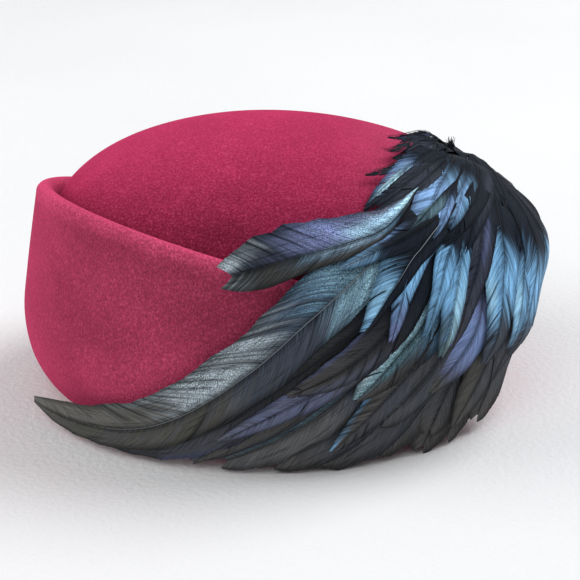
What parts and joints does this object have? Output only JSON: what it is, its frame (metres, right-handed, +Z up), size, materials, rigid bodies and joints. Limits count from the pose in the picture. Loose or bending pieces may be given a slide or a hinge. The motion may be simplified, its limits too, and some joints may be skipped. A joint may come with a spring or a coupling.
{
  "type": "fascinator hat",
  "caption": "Small oval felt hat with a domed crown, a slanting turned-up cuff with a rolled rim, and a drape of dark iridescent cock feathers over one side and the front.",
  "frame": {"origin": "centre of the whole hat's box, on the level of the folded bottom edge that it stands on", "axes": "+Z up through the crown, +X towards the feathered side, -Y towards the front that the long feather crosses"},
  "size_m": [0.2065, 0.1734, 0.106],
  "materials": {
    "felt": "short velour nap, matt",
    "charcoal_feather": "dark feather vane, satin",
    "blue_feather": "black feather vane with a blue sheen",
    "teal_feather": "grey feather vane with a silver-teal sheen",
    "violet_feather": "dark feather vane with a violet sheen",
    "black_feather": "black hackle, satin"
  },
  "bodies": {
    "root": {"crown": "felt", "cuff": "felt", "under_feathers": "charcoal_feather", "drape_feathers": "blue_feather", "long_feather": "teal_feather", "cover_feathers": "blue_feather", "notched_feather": "violet_feather", "hackles": "black_feather"}
  },
  "joints": []
}
